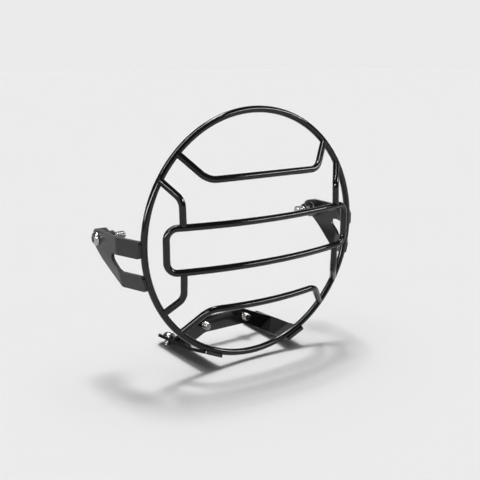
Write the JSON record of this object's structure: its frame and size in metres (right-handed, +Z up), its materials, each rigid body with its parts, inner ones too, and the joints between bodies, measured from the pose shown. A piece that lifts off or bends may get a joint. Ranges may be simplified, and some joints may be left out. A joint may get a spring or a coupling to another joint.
{
  "type": "headlight guard",
  "caption": "Round wire headlight guard with bowed cross bars and a centre loop, bent side brackets with screws and bushes, and a bridged foot bracket.",
  "frame": {"origin": "centre of the wire ring, on the lamp's axis", "axes": "+Z up, +Y to the rear (towards the lamp), +X to the right as seen from the front"},
  "size_m": [0.213, 0.0929, 0.1939],
  "materials": {
    "wire_coat": "gloss black coat on steel wire",
    "sheet_coat": "satin black coat on steel sheet",
    "bush_black": "satin black",
    "screw_steel": "bright zinc"
  },
  "bodies": {
    "root": {"ring": "wire_coat", "upper_bar": "wire_coat", "lower_bar": "wire_coat", "centre_loop": "wire_coat", "stub_upper_right": "wire_coat", "stub_upper_left": "wire_coat", "stub_lower_right": "wire_coat", "stub_lower_left": "wire_coat", "side_welds": "wire_coat", "foot_welds": "wire_coat", "side_plate_right": "sheet_coat", "side_plate_left": "sheet_coat", "foot_arm_right": "sheet_coat", "foot_arm_left": "sheet_coat", "bridge": "sheet_coat", "bush_right": "bush_black", "bush_left": "bush_black", "side_screws": "screw_steel", "arm_screws": "screw_steel", "bridge_screws": "screw_steel"}
  },
  "joints": []
}
